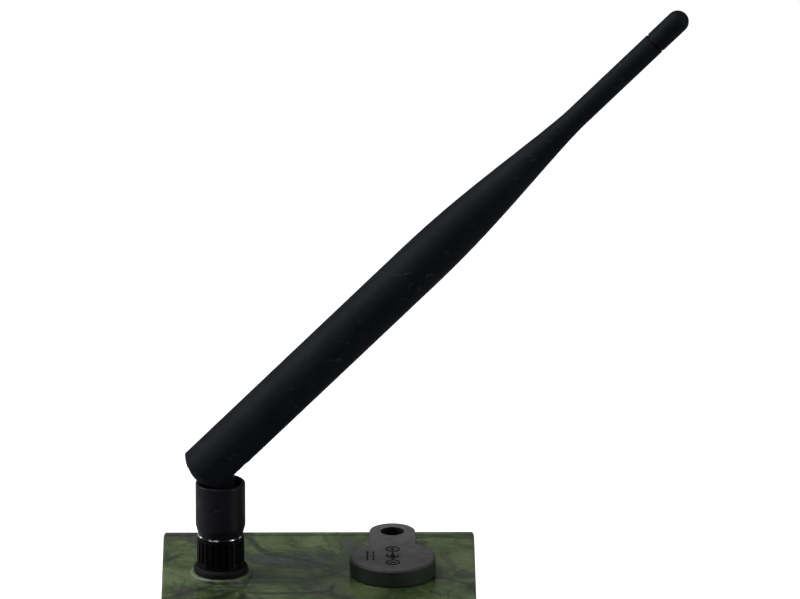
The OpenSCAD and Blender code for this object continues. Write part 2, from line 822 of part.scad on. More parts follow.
module front_cover() {
    lift = 0.5;
    outline = cover_plan(0, cover_y);
    color(OLIVE)
    difference() {
        union() {
            difference() {
                translate([0, 0, lift]) linear_extrude(case_h - lift) polygon(outline);
                translate([0, 0, wall + lift])
                    linear_extrude(case_h - 2 * wall - lift) polygon(cover_plan(wall, cover_y + 1));
            }
            for (x = [-1, 1], z = panel_screw_zs) tube_y(3, post_y, panel_y, x * panel_screw_x, z);
            hinge_barrels(cover_knuckles, -1);
            box([lock_x - 5.4, cover_y - lock_t, lock_z - 8], [-side_x + skin, cover_y, lock_z + 8]);
            box([-side_x - 2.2, cover_y - 4.7, latch_z - 9], [-side_x + skin, cover_y - 2.2, latch_z + 9]);
        }
        centred_y(ir_w, ir_h, front_y - 1, front_y + 2, 0, ir_z);
        centred_y(ir_w - 6, ir_h - 6, front_y - 1, face_in + 1, 0, ir_z);
        tube_y(bezel_r - 2, front_y - 1, face_in + 1, 0, lens_z);
        box([-12, front_y - 1, pir_z - 10], [12, face_in + 1, pir_z + 10]);
        box([-6, front_y - 1, status_z - 2], [6, face_in + 1, status_z + 2]);
        tube_y(2.6, front_y - 1, face_in + 1, 23, lens_z);
        tube_y(0.8, front_y - 1, face_in + 1, -23, lens_z);
        for (s = [-1, 1]) at_chamfer(s) box([-3.4, -4, -9], [3.4, 6, 9]);
        for (x = [-1, 1], z = panel_screw_zs) tube_y(screw_r, panel_y - 9, panel_y + 1, x * panel_screw_x, z);
        for (z = hinge_starts) hinge_bore(z);
        tube_y(lock_r, cover_y - lock_t - 1, cover_y + 1, lock_x, lock_z);
        rounded_rims([for (i = [1 : 6]) outline[i % 6]], lift, case_h);
    }
}

module lens_bezel() {
    color(BLACK)
    translate([0, front_y, lens_z]) rotate([90, 0, 0])
    rotate_extrude() polygon([
        [bezel_r - 2.1, -3.4], [bezel_r - 2.1, 0.05], [bezel_r, 0.05], [bezel_r, 1.6], [bezel_r - 1.2, 2.6],
        [bezel_r - 2, 2.6], [bezel_r - 4, 0.2], [bezel_r - 4, -3.4]
    ]);
}

module lens_window() {
    color("#20262c", 0.5) tube_y(bezel_r - 4.1, front_y + 0.6, front_y + 2, 0, lens_z);
}

module lens_barrel() {
    color(BLACK)
    translate([0, front_y, lens_z]) rotate([90, 0, 0])
    rotate_extrude() polygon([
        [2, -13.4], [8.5, -13.4], [8.5, -11], [6.8, -11], [6.8, -4], [6.2, -3.4], [5.2, -3.4], [3.9, -5],
        [3.9, -12], [2, -12]
    ]);
}

module lens_glass() {
    color("#5a6f8f", 0.6)
    translate([0, front_y, lens_z]) rotate([90, 0, 0])
    rotate_extrude() polygon([
        [0, -7.5], [3.8, -7.5], [3.8, -6], [3, -5.3], [2, -4.85], [1, -4.6], [0, -4.5]
    ]);
}

module image_sensor() {
    color(BOARD)
    difference() {
        box([-11, front_y + 13.5, lens_z - 11], [11, front_y + 15, lens_z + 11]);
        for (x = [-9, 9], z = [-9, 9]) tube_y(0.9, front_y + 12, front_y + 16, x, lens_z + z);
    }
}

module ir_window() {
    color("#1c1216", 0.8) centred_y(ir_w - 0.2, ir_h - 0.2, front_y + 0.2, front_y + 1.9, 0, ir_z);
}

module ir_board() {
    color(BOARD)
    box([-29, led_y, ir_z - 18], [29, led_y + board_t, ir_z + 18]);
}

module ir_leds() {
    color("#8f8aa0")
    for (i = [0 : led_cols - 1], j = [0 : led_rows - 1])
        translate([(i - (led_cols - 1) / 2) * led_pitch, led_y, ir_z + (j - (led_rows - 1) / 2) * 8.4])
        rotate([90, 0, 0])
        rotate_extrude($fn = 32) polygon(concat(
            [[0, 0], [led_r + 0.4, 0], [led_r + 0.4, 1], [led_r, 1], [led_r, 5.7]],
            [for (p = quarter(4, led_r, 15, 90)) [max(0, p[0]), 5.7 + p[1]]]
        ));
}

// Bowed lens plate: width w, height h, bow radius r, thickness t, its front at y = -rise
module bowed_plate(w, h, r, t, rise) {
    intersection() {
        box([-w / 2, -rise, -h / 2], [w / 2, 4, h / 2]);
        difference() {
            tube_z(r, -h, h, 0, r - rise);
            tube_z(r - t, -h - 1, h + 1, 0, r - rise);
        }
    }
}

module pir_lens() {
    color(PALE)
    translate([0, front_y, pir_z]) {
        bowed_plate(23.8, 19.8, 22, 1.2, 2.6);
        difference() {
            box([-14, -1, -12], [14, -0.05, 12]);
            box([-11.6, -2, -9.6], [11.6, 1, 9.6]);
        }
    }
}

module side_pir_lenses() {
    color(PALE)
    for (s = [-1, 1]) at_chamfer(s) {
        bowed_plate(6.6, 17.6, 7, 1, 1.5);
        difference() {
            box([-4.6, -0.8, -10.4], [4.6, -0.05, 10.4]);
            box([-3.2, -2, -8.7], [3.2, 1, 8.7]);
        }
    }
}

module pir_sensors() {
    color(STEEL) {
        tube_y(4.6, board_y - 4.4, board_y - 0.1, 0, pir_z);
        for (s = [-1, 1]) at_chamfer(s) tube_y(3.2, 5.4, 8.4, 0, 0);
    }
}

module indicator_lens() {
    color("#5a1414", 0.8) box([-5.9, front_y + 0.3, status_z - 1.9], [5.9, face_in, status_z + 1.9]);
}

module light_sensor() {
    color(PALE) tube_y(2.5, front_y + 0.4, face_in, 23, lens_z);
}

module main_board() {
    color(BOARD)
    box([-31.5, board_y, 6], [31.5, board_back, case_h - 6]);
}

// ---------- inner panel with screen, keys and card ----------

key_places = [["up", 0, 1], ["down", 0, -1], ["left", -1, 0], ["right", 1, 0], ["ok", 0, 0]];
function key_at(name) =
    [for (k = key_places) if (k[0] == name) [key_x + k[1] * key_step, key_z + k[2] * key_step]][0];

module inner_panel() {
    under = panel_y - 1;
    over = panel_face + 1;
    color(GREY)
    difference() {
        box([-panel_x, panel_y, wall + 0.9], [panel_x, panel_face, case_h - wall - 0.4]);
        centred_y(lcd_w, lcd_h, under, over, 0, lcd_z);
        for (k = key_places) {
            p = key_at(k[0]);
            centred_y(key_size + 0.6, key_size + 0.6, under, over, p[0], p[1]);
        }
        centred_y(14.8, 3.8, under, over, 0, switch_z);
        box([pocket[0][0], under, pocket[0][1]], [pocket[1][0], over, pocket[1][1]]);
        for (x = [-1, 1], z = panel_screw_zs) tube_y(screw_r + 0.2, under, over, x * panel_screw_x, z);
        for (i = [-1 : 1]) tube_y(contact_r + 0.2, under, over, contact_x, pad_z + i * pad_step);
    }
}

// Sprung pins that meet the case's contact block when the cover is shut
module contact_pins() {
    color(GOLD) {
        centred_y(3.2, pad_h - 2, panel_y - 4, panel_y - 0.05, contact_x - 0.1, pad_z);
        for (i = [-1 : 1]) tube_y(contact_r, panel_y - 0.1, split_y - 0.3, contact_x, pad_z + i * pad_step);
    }
}

module panel_screws() {
    color(STEEL)
    for (x = [-1, 1], z = panel_screw_zs) screw_y(x * panel_screw_x, panel_face, z, 8);
}

module lcd_module() {
    color("#11161c")
    difference() {
        centred_y(lcd_w + 8, lcd_h + 10, board_back + 0.2, panel_y - 0.05, 0, lcd_z);
        centred_y(lcd_w - 1.2, lcd_h - 1.2, panel_y - 0.6, panel_y + 1, 0, lcd_z);
    }
}

// Key cap with a retaining flange behind the panel
module key_cap(name) {
    p = key_at(name);
    flange = key_size + 1.6;
    color(name == "ok" ? "#7a2a22" : DARK) {
        centred_y(key_size, key_size, panel_y - 0.7, panel_face + key_rise, p[0], p[1]);
        centred_y(flange, flange, key_back, panel_y - 0.6, p[0], p[1]);
    }
}

module mode_switch() {
    color(DARK) {
        box([-2.4, panel_y - 0.5, switch_z - 1.5], [2.4, panel_face + 1, switch_z + 1.5]);
        box([-3.2, board_back + 0.4, switch_z - 3], [3.2, panel_y - 0.4, switch_z + 3]);
    }
}

module sd_holder() {
    color(STEEL)
    difference() {
        box([card_x - 13.6, board_back + 0.05, 25.5], [card_x + 13.6, panel_y - 0.1, 56]);
        box([card_x - 12.3, card_y - 0.25, 20], [card_x + 12.3, card_y + 2.35, 54]);
    }
}

module sd_card() {
    color("#203a6a")
    translate([card_x, card_y + 2.1, card_z]) rotate([90, 0, 0]) linear_extrude(2.1) polygon([
        [-12, 0], [12, 0], [12, 28], [8, 32], [-12, 32]
    ]);
}

module usb_port() {
    color(STEEL)
    difference() {
        box([usb_x - 3.8, board_back + 0.05, 24.4], [usb_x + 3.8, panel_y - 0.1, 33]);
        box([usb_x - 3.2, board_back + 0.6, 23], [usb_x + 3.2, panel_y - 0.6, 31]);
    }
}

rear_case();
back_plate();
back_plate_screws();
tree_bracket();
bracket_screws();
tripod_bush();
case_gasket();
hinge_pins();
latch_clip();
latch_pin();
battery_tray();
battery_cells();
battery_contacts();
modem_board();
modem_module();
sim_holder();
sim_card();
contact_pads();
antenna_port();
port_nut();
port_seal();
antenna_lead();
power_lead();
dc_jack();
port_plug();
antenna_nut();
antenna_ferrule();
antenna_collar();
antenna_pivot_pin();
antenna_blade();
antenna_tip();
antenna_radiator();
front_cover();
inner_panel();
panel_screws();
lens_bezel();
lens_window();
lens_barrel();
lens_glass();
image_sensor();
ir_window();
ir_board();
ir_leds();
pir_lens();
side_pir_lenses();
pir_sensors();
indicator_lens();
light_sensor();
main_board();
lcd_module();
key_cap("up");  // key_up
key_cap("down");  // key_down
key_cap("left");  // key_left
key_cap("right");  // key_right
key_cap("ok");  // key_ok
mode_switch();
sd_holder();
sd_card();
usb_port();
contact_pins();
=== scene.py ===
import json
import math

import bmesh
import bpy
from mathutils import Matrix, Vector


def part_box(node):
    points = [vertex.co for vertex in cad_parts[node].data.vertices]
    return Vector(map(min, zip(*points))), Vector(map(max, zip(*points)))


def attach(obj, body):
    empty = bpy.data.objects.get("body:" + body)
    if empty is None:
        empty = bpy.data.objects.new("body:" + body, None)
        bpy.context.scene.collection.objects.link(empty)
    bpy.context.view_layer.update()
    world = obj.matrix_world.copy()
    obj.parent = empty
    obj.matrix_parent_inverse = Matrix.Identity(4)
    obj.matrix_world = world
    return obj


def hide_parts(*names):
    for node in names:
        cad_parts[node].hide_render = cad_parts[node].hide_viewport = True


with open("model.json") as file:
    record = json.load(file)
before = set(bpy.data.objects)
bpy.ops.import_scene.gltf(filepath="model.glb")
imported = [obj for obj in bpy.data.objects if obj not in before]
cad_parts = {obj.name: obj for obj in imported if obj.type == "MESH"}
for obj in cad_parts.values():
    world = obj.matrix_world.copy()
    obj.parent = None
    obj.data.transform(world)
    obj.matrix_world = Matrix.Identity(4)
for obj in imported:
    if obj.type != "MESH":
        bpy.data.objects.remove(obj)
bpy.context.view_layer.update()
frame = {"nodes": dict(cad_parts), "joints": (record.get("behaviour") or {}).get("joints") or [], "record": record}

MM = 0.001
BODY_OF = {n: b for b, ns in frame["record"]["behaviour"]["bodies"].items() for n in ns}
SLOT_OF = {s["node"]: s["material_slot"] for s in frame["record"]["subparts"]}
JOINTS = {j["name"]: j for j in frame["joints"]}


class Paint:
    """One procedural material; every pattern is laid out in the piece's own coordinates, in metres."""

    def __init__(self, name, rough=0.5, metallic=0.0):
        self.material = bpy.data.materials.new(name)
        self.material.use_nodes = True
        self.tree = self.material.node_tree
        self.shader = self.tree.nodes["Principled BSDF"]
        self.coords = self.tree.nodes.new("ShaderNodeTexCoord").outputs["Object"]
        self.set("Roughness", rough)
        self.set("Metallic", metallic)

    def set(self, socket, value):
        self.shader.inputs[socket].default_value = value

    def link(self, output, socket):
        self.tree.links.new(output, self.shader.inputs[socket])

    def node(self, kind, links=(), **values):
        made = self.tree.nodes.new(kind)
        for key, value in values.items():
            setattr(made, key, value)
        for socket, value in dict(links).items():
            if isinstance(value, bpy.types.NodeSocket):
                self.tree.links.new(value, made.inputs[socket])
            else:
                made.inputs[socket].default_value = value
        return made

    # Coordinates

    def axes(self):
        return self.node("ShaderNodeSeparateXYZ", {"Vector": self.coords}).outputs

    def place(self, scale=(1, 1, 1), offset=(0, 0, 0), turn=(0, 0, 0), coords=None):
        turned = [math.radians(t) for t in turn]
        links = {"Vector": coords or self.coords, "Scale": scale, "Location": offset, "Rotation": turned}
        return self.node("ShaderNodeMapping", links).outputs["Vector"]

    def warp(self, scale, amount, coords=None):
        """The coordinates pushed about by a soft noise of the given scale."""
        base = coords or self.coords
        cloud = self.node("ShaderNodeTexNoise", {"Vector": base, "Scale": scale, "Detail": 2.0})
        centred = self.vector("SUBTRACT", cloud.outputs["Color"], (0.5, 0.5, 0.5))
        return self.vector("ADD", base, self.vector("MULTIPLY", centred, (amount, amount, amount)))

    # Patterns and sums

    def noise(self, scale, detail=3.0, rough=0.5, bend=0.0, coords=None):
        links = {"Vector": coords or self.coords, "Scale": scale, "Detail": detail,
                 "Roughness": rough, "Distortion": bend}
        return self.node("ShaderNodeTexNoise", links).outputs["Fac"]

    def cells(self, scale, feature="F1", coords=None):
        links = {"Vector": coords or self.coords, "Scale": scale}
        return self.node("ShaderNodeTexVoronoi", links, feature=feature).outputs["Distance"]

    def step(self, value, low, high):
        """0 below low, 1 above high, smooth between them."""
        links = {"Value": value, "From Min": low, "From Max": high}
        made = self.node("ShaderNodeMapRange", links, interpolation_type="SMOOTHSTEP")
        return made.outputs["Result"]

    def math(self, operation, a, b=0.0):
        return self.node("ShaderNodeMath", {0: a, 1: b}, operation=operation).outputs[0]

    def vector(self, operation, a, b):
        return self.node("ShaderNodeVectorMath", {0: a, 1: b}, operation=operation).outputs[0]

    def both(self, a, b):
        return self.math("MULTIPLY", a, b)

    # Colours

    def ramp(self, value, stops):
        made = self.node("ShaderNodeValToRGB", {"Fac": value})
        points = made.color_ramp.elements
        while len(points) < len(stops):
            points.new(0.5)
        for point, (at, rgb) in zip(points, stops):
            point.position = at
            point.color = (*rgb, 1.0)
        return made.outputs["Color"]

    def blend(self, share, below, above):
        """The upper colour's share over the lower one; a mix node's colours are inputs 6, 7 and output 2."""
        made = self.node("ShaderNodeMix", {"Factor": share}, data_type="RGBA")
        for index, side in ((6, below), (7, above)):
            if isinstance(side, bpy.types.NodeSocket):
                self.tree.links.new(side, made.inputs[index])
            else:
                made.inputs[index].default_value = (*side, 1.0)
        return made.outputs[2]

    def cover(self, mask, amount, below, above):
        """The upper colour over the lower one where the mask says, at the given strength."""
        return self.blend(self.both(mask, amount), below, above)

    # Links to the shader

    def drift(self, cloud, low, high):
        """Base colour wandering between two tones."""
        self.link(self.ramp(cloud, [(0.3, low), (0.7, high)]), "Base Color")

    def roughness(self, value, low, high):
        links = {"Value": value, "To Min": low, "To Max": high}
        self.link(self.node("ShaderNodeMapRange", links).outputs["Result"], "Roughness")

    def relief(self, height, depth, strength):
        """Bump of the given depth in millimetres; calls stack."""
        links = {"Height": height, "Distance": depth * MM, "Strength": strength}
        before = self.shader.inputs["Normal"].links
        if before:
            links["Normal"] = before[0].from_socket
        self.link(self.node("ShaderNodeBump", links).outputs["Normal"], "Normal")


# ---------- camera, floor and light ----------

VIEW_ELEVATION = 19.4                           # degrees
VIEW_YAW = -0.37
VIEW_DISTANCE = 3.0                             # metres
VIEW_LENS = 521.0                               # millimetres
AIM_OFFSET = Vector((0.0468, 0.0, 0.0761))      # aim point, from the antenna's axis on the top face
WORLD_LIGHT = 0.125
FLOOR_REACH = 25.0
FLOOR_ALBEDO = 0.35
FLOOR_GLOW = 0.85
SKY_RADIUS = 24.0
SKY_ALBEDO = 0.5
SKY_GLOW = 1.0
STAGE_DROP = 0.1 * MM                           # keeps the floor clear of the object's foot

# Name, place, aimed at, size, watts, spread in degrees
LIGHTS = [
    ("key", (-0.45, -0.02, 1.05), (0.0, 0.0, 0.18), (0.6, 0.6), 8.0, 120.0),
    ("left_edge", (-1.0, 0.05, 0.45), (0.0, 0.0, 0.17), (0.22, 0.8), 3.2, 80.0),
    ("right_edge", (1.0, -0.45, 0.40), (0.0, 0.0, 0.17), (0.22, 0.7), 2.2, 80.0),
    ("front_fill", (-0.30, -1.45, 1.10), (0.0, 0.0, 0.08), (0.9, 0.9), 1.5, 90.0),
    ("backdrop", (0.0, 2.5, 1.05), (0.0, 0.0, 0.1), (3.0, 1.4), 0.30, 120.0),
    ("back_left", (-1.6, 0.95, 1.2), (0.0, 0.0, 0.07), (1.4, 1.1), 2.8, 120.0),
    ("back_right", (1.6, 0.95, 1.1), (0.0, 0.0, 0.07), (1.4, 1.0), 2.0, 120.0),
]


def add_camera():
    """A long lens at the height and side that shows the top of the box and the whole antenna."""
    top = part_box("back_plate")[1].z
    foot = Vector(JOINTS["antenna_swivel"]["pos_m"])
    aim = Vector((foot.x, foot.y, top)) + AIM_OFFSET
    e, a = math.radians(VIEW_ELEVATION), math.radians(VIEW_YAW)
    away = Vector((math.sin(a) * math.cos(e), -math.cos(a) * math.cos(e), math.sin(e)))
    data = bpy.data.cameras.new("camera")
    data.lens = VIEW_LENS
    data.sensor_width = 36.0
    data.clip_end = 60.0
    camera = bpy.data.objects.new("camera", data)
    bpy.context.scene.collection.objects.link(camera)
    camera.location = aim + away * VIEW_DISTANCE
    camera.rotation_euler = (-away).to_track_quat("-Z", "Y").to_euler()
    bpy.context.scene.camera = camera


def add_light(name, place, target, size, watts, spread):
    data = bpy.data.lights.new(name, "AREA")
    data.shape = "RECTANGLE"
    data.size, data.size_y = size
    data.energy = watts
    data.spread = math.radians(spread)
    light = bpy.data.objects.new(name, data)
    bpy.context.scene.collection.objects.link(light)
    light.location = place
    light.visible_camera = False
    light.rotation_euler = (Vector(target) - Vector(place)).to_track_quat("-Z", "Y").to_euler()


def add_surround(name, bm, albedo, glow):
    """A pale stage surface whose own glow lights nothing but itself."""
    mesh = bpy.data.meshes.new(name)
    bm.to_mesh(mesh)
    bm.free()
    surround = bpy.data.objects.new(name, mesh)
    bpy.context.scene.collection.objects.link(surround)
    paint = Paint(name + "_white", rough=0.9)
    tones = [(0.0, (albedo * 0.97,) * 3), (1.0, (albedo,) * 3)]
    paint.link(paint.ramp(paint.noise(3.0, 2.0), tones), "Base Color")
    paint.set("Specular IOR Level", 0.0)
    paint.set("Emission Color", (1.0, 1.0, 1.0, 1.0))
    paint.set("Emission Strength", glow)
    mesh.materials.append(paint.material)
    only = bpy.data.collections.new(name + "_only")
    only.objects.link(surround)
    surround.location.z = -STAGE_DROP
    surround.light_linking.receiver_collection = only
    return surround


def add_stage():
    """Plain white floor and sky, an even surrounding light and soft boxes all round."""
    scene = bpy.context.scene
    scene.view_settings.view_transform = "Standard"
    world = bpy.data.worlds.new("studio")
    scene.world = world
    world.use_nodes = True
    back = world.node_tree.nodes["Background"]
    back.inputs["Color"].default_value = (1.0, 1.0, 1.0, 1.0)
    back.inputs["Strength"].default_value = WORLD_LIGHT
    bm = bmesh.new()
    bmesh.ops.create_grid(bm, x_segments=2, y_segments=2, size=FLOOR_REACH)
    add_surround("floor", bm, FLOOR_ALBEDO, FLOOR_GLOW)
    bm = bmesh.new()
    bmesh.ops.create_uvsphere(bm, u_segments=48, v_segments=24, radius=SKY_RADIUS)
    sky = add_surround("sky", bm, SKY_ALBEDO, SKY_GLOW)
    sky.visible_diffuse = sky.visible_glossy = sky.visible_transmission = sky.visible_shadow = False
    for light in LIGHTS:
        add_light(*light)


# ---------- the camouflage print ----------

def camo_ground(p, bent, fine):
    """Mottled olive crossed by dark green streaks."""
    olive = p.ramp(p.noise(66.0, 8.0, 0.74, 0.9, fine), [
        (0.28, (0.006, 0.011, 0.003)), (0.40, (0.014, 0.024, 0.007)),
        (0.51, (0.028, 0.042, 0.015)), (0.60, (0.039, 0.053, 0.021)), (0.74, (0.053, 0.067, 0.032))])
    streaks = p.noise(1.0, 5.0, 0.65, 1.2, p.place((210.0, 60.0, 60.0), (0.4, 0.1, 0.3), (0, 0, 52), bent))
    return p.cover(p.step(streaks, 0.52, 0.66), 0.55, olive, (0.010, 0.016, 0.006))


def camo_bark(p, below, bent, fine):
    """Large charcoal shapes with a ridged grain and a darker rim."""
    bark = p.noise(27.0, 6.0, 0.66, 1.7, p.place((1.0, 1.0, 0.55), (0.31, 0.07, 0.11), coords=fine))
    ridges = p.noise(1.0, 5.0, 0.7, 0.8, p.place((420.0, 130.0, 130.0), turn=(0, 0, -38), coords=bent))
    charcoal = p.ramp(ridges, [
        (0.34, (0.006, 0.007, 0.007)), (0.52, (0.018, 0.019, 0.019)), (0.74, (0.036, 0.036, 0.038))])
    colour = p.blend(p.step(bark, 0.56, 0.60), below, charcoal)
    rim = p.both(p.step(bark, 0.535, 0.555), p.step(bark, 0.59, 0.57))
    return p.cover(rim, 0.6, colour, (0.008, 0.011, 0.006))


def camo_leaves(p, below):
    """Patches of leaves, each paler in the middle."""
    leaf = p.cells(48.0, "F1", p.place((1.0, 0.62, 1.0), (0.02, 0.3, 0.7), (20, 15, 35), p.warp(55.0, 0.010)))
    patch = p.step(p.noise(24.0, 1.0), 0.47, 0.53)
    tone = p.ramp(leaf, [
        (0.0, (0.058, 0.072, 0.032)), (0.24, (0.034, 0.046, 0.017)), (0.34, (0.010, 0.016, 0.005))])
    return p.cover(p.both(p.step(leaf, 0.40, 0.34), patch), 0.70, below, tone)


def camo_twigs(p, below):
    """Dark twigs, and a finer hatch of thin ones."""
    leaning = p.place((1.0, 0.8, 0.45), (0.1, 0.2, 0.4), (0, 30, 20))
    veins = p.cells(36.0, "DISTANCE_TO_EDGE", p.warp(30.0, 0.022, leaning))
    twigs = p.both(p.step(veins, 0.040, 0.014), p.step(p.noise(30.0, 2.0), 0.44, 0.50))
    colour = p.cover(twigs, 0.9, below, (0.007, 0.009, 0.005))
    thin = p.cells(120.0, "DISTANCE_TO_EDGE", p.warp(70.0, 0.010))
    hatch = p.both(p.step(thin, 0.055, 0.015), p.step(p.noise(46.0, 2.0), 0.50, 0.58))
    return p.cover(hatch, 0.55, colour, (0.010, 0.014, 0.006))


def camo_grit(p, below, bent):
    """Fine pale and dark specks."""
    grit = p.noise(1.0, 4.0, 0.75, 0.5, p.place((520.0, 900.0, 520.0), turn=(0, 0, 25), coords=bent))
    colour = p.cover(p.step(grit, 0.54, 0.70), 0.34, below, (0.072, 0.090, 0.055))
    return p.cover(p.step(grit, 0.46, 0.32), 0.60, colour, (0.006, 0.010, 0.005))


def seam_grime(p, below):
    """A thin line of dirt where the back plate meets the case."""
    from_seam = p.math("ABSOLUTE", p.math("SUBTRACT", p.axes()["Y"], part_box("back_plate")[0].y))
    return p.cover(p.step(from_seam, 0.50 * MM, 0.15 * MM), 0.85, below, (0.003, 0.004, 0.003))


def lacquer(p):
    """Satin roughness, rubbed dull round the antenna's foot, over a slight orange peel."""
    x, y, _ = JOINTS["antenna_swivel"]["pos_m"]
    flat = p.vector("MULTIPLY", p.vector("SUBTRACT", p.coords, (x, y, 0.0)), (1.0, 1.0, 0.0))
    away = p.node("ShaderNodeVectorMath", {0: flat}, operation="LENGTH").outputs["Value"]
    dull = p.both(p.step(away, 8.8 * MM, 8.0 * MM), 0.38)
    satin = p.ramp(p.noise(90.0, 3.0), [(0.3, (0.13,) * 3), (0.7, (0.21,) * 3)])
    p.link(p.math("ADD", dull, satin), "Roughness")
    p.relief(p.noise(1100.0, 2.0), 0.03, 0.35)
    p.relief(p.noise(60.0, 2.0), 0.12, 0.22)


def camo():
    """Woodland print under a satin lacquer: mottled olive, charcoal bark, leaves and twigs, all generic."""
    p = Paint("camo_print", rough=0.17)
    bent = p.warp(38.0, 0.016)
    fine = p.warp(170.0, 0.0035, bent)
    colour = camo_ground(p, bent, fine)
    colour = camo_bark(p, colour, bent, fine)
    colour = camo_leaves(p, colour)
    colour = camo_twigs(p, colour)
    colour = camo_grit(p, colour, bent)
    p.link(seam_grime(p, colour), "Base Color")
    p.set("Specular IOR Level", 0.36)
    lacquer(p)
    return p.material


# ---------- the other materials ----------

def moulded(name, rgb, rough, grain=0.04, spec=0.5, dust=0.35, painted_top_light=0.0):
    """Moulded plastic or rubber with a fine grain, slow colour drift and handling marks, and on request a painted
    top light: upward faces painted a paler, speckled tone.
    """
    p = Paint(name, rough=rough)
    lift = tuple(c * 2.1 + 0.003 + 0.010 * dust for c in rgb)
    deep, pale = tuple(c * 0.8 for c in rgb), tuple(c * 1.25 for c in rgb)
    tone = p.ramp(p.noise(70.0, 4.0, 0.6), [(0.3, deep), (0.75, pale)])
    marks = p.noise(1.0, 5.0, 0.65, 0.6, p.place((240.0, 240.0, 620.0), turn=(12, 20, 0)))
    bare = 0.06 * dust
    handled = p.step(p.noise(85.0, 2.0), 0.52 - bare, 0.66)
    scuff = p.both(p.step(marks, 0.60 - bare, 0.74 - bare), handled)
    colour = p.cover(scuff, dust, tone, lift)
    if painted_top_light:
        # Painted light: upward faces are painted paler, with a speckle, standing in for the light on the top.
        outward = p.node("ShaderNodeTexCoord").outputs["Normal"]
        upward = p.step(p.node("ShaderNodeSeparateXYZ", {"Vector": outward}).outputs["Z"], 0.55, 0.95)
        thin, thick = (painted_top_light * 0.75,) * 3, (painted_top_light * 1.2,) * 3
        top_light_flecks = p.ramp(p.noise(420.0, 4.0, 0.7), [(0.32, thin), (0.70, thick)])
        colour = p.blend(upward, colour, top_light_flecks)
    p.link(colour, "Base Color")
    p.roughness(p.noise(160.0, 4.0, 0.6), rough * 0.85, min(1.0, rough * 1.2))
    p.relief(p.noise(2600.0, 2.0), grain, 0.5)
    p.relief(p.noise(130.0, 3.0), grain * 2.0, 0.3)
    p.set("Specular IOR Level", spec)
    return p.material


def metal(name, rgb, rough):
    """Drawn or plated metal with fine turning lines and dull spots."""
    p = Paint(name, rough=rough, metallic=1.0)
    p.drift(p.noise(180.0, 3.0), tuple(c * 0.82 for c in rgb), rgb)
    lines = p.noise(1.0, 3.0, 0.6, 0.0, p.place((300.0, 300.0, 5200.0)))
    p.roughness(lines, rough * 0.7, rough * 1.4)
    p.relief(lines, 0.01, 0.5)
    return p.material


def glint_spotted_metal():
    """Plating painted near-black all over as painted shade, except for small bright spots that are painted glints.
    """
    p = Paint("nickel_with_painted_glints", rough=0.3, metallic=1.0)
    glint_spots = p.step(p.noise(430.0, 1.0, 0.5), 0.50, 0.58)
    # Painted shade and painted glints: a near-black base colour broken by small bright spots.
    p.link(p.blend(glint_spots, (0.030, 0.029, 0.029), (0.95, 0.94, 0.92)), "Base Color")
    p.roughness(glint_spots, 0.45, 0.40)
    return p.material


def board():
    """Green solder mask over bundles of straight copper tracks, with small plated pads."""
    p = Paint("solder_mask", rough=0.35)
    links = {"Vector": p.place(offset=(0.13, 0.0, 0.21)), "Scale": 110.0}
    block = p.node("ShaderNodeTexVoronoi", links, feature="F1", distance="CHEBYCHEV").outputs["Color"]
    pick = p.node("ShaderNodeSeparateColor", {"Color": block}).outputs
    axes = p.axes()
    half_pitch = 0.5 * MM
    across, down = [p.math("PINGPONG", axes[i], half_pitch) for i in ("X", "Z")]
    upright = p.math("GREATER_THAN", pick["Red"], 0.5)
    level = p.math("SUBTRACT", 1.0, upright)
    line = p.math("ADD", p.both(upright, across), p.both(level, down))
    tracks = p.both(p.step(line, 0.24 * MM, 0.30 * MM), p.math("GREATER_THAN", pick["Green"], 0.35))
    mask = p.blend(tracks, (0.006, 0.045, 0.022), (0.020, 0.095, 0.045))
    pads = p.step(p.cells(330.0), 0.15, 0.11)
    p.link(p.cover(pads, 0.8, mask, (0.42, 0.34, 0.17)), "Base Color")
    p.relief(tracks, 0.03, 0.6)
    p.roughness(p.noise(400.0), 0.28, 0.45)
    return p.material


def cell_wrap():
    """The dark printed sleeve round a battery's body."""
    p = Paint("cell_sleeve", rough=0.3, metallic=0.55)
    wear = p.noise(140.0, 4.0)
    p.drift(wear, (0.016, 0.030, 0.055), (0.030, 0.055, 0.095))
    p.roughness(wear, 0.22, 0.38)
    p.relief(p.noise(900.0, 2.0), 0.02, 0.3)
    return p.material


def clear(name, rgb, rough, through):
    """Clear or tinted plastic or glass; a faint haze keeps it from looking perfect."""
    p = Paint(name, rough=rough)
    p.set("Transmission Weight", through)
    p.set("IOR", 1.49)
    haze = p.noise(60.0, 2.0)
    p.drift(haze, tuple(c * 0.94 for c in rgb), rgb)
    p.roughness(haze, rough, rough + 0.03)
    return p.material


def dark_window():
    """Glossy infrared filter, almost black, through which the lamps behind only just show."""
    p = Paint("infrared_acrylic", rough=0.03)
    smear = p.noise(50.0, 3.0)
    p.drift(smear, (0.0045, 0.0012, 0.0018), (0.0075, 0.0020, 0.0028))
    p.roughness(smear, 0.02, 0.07)
    p.set("Alpha", 0.62)
    return p.material


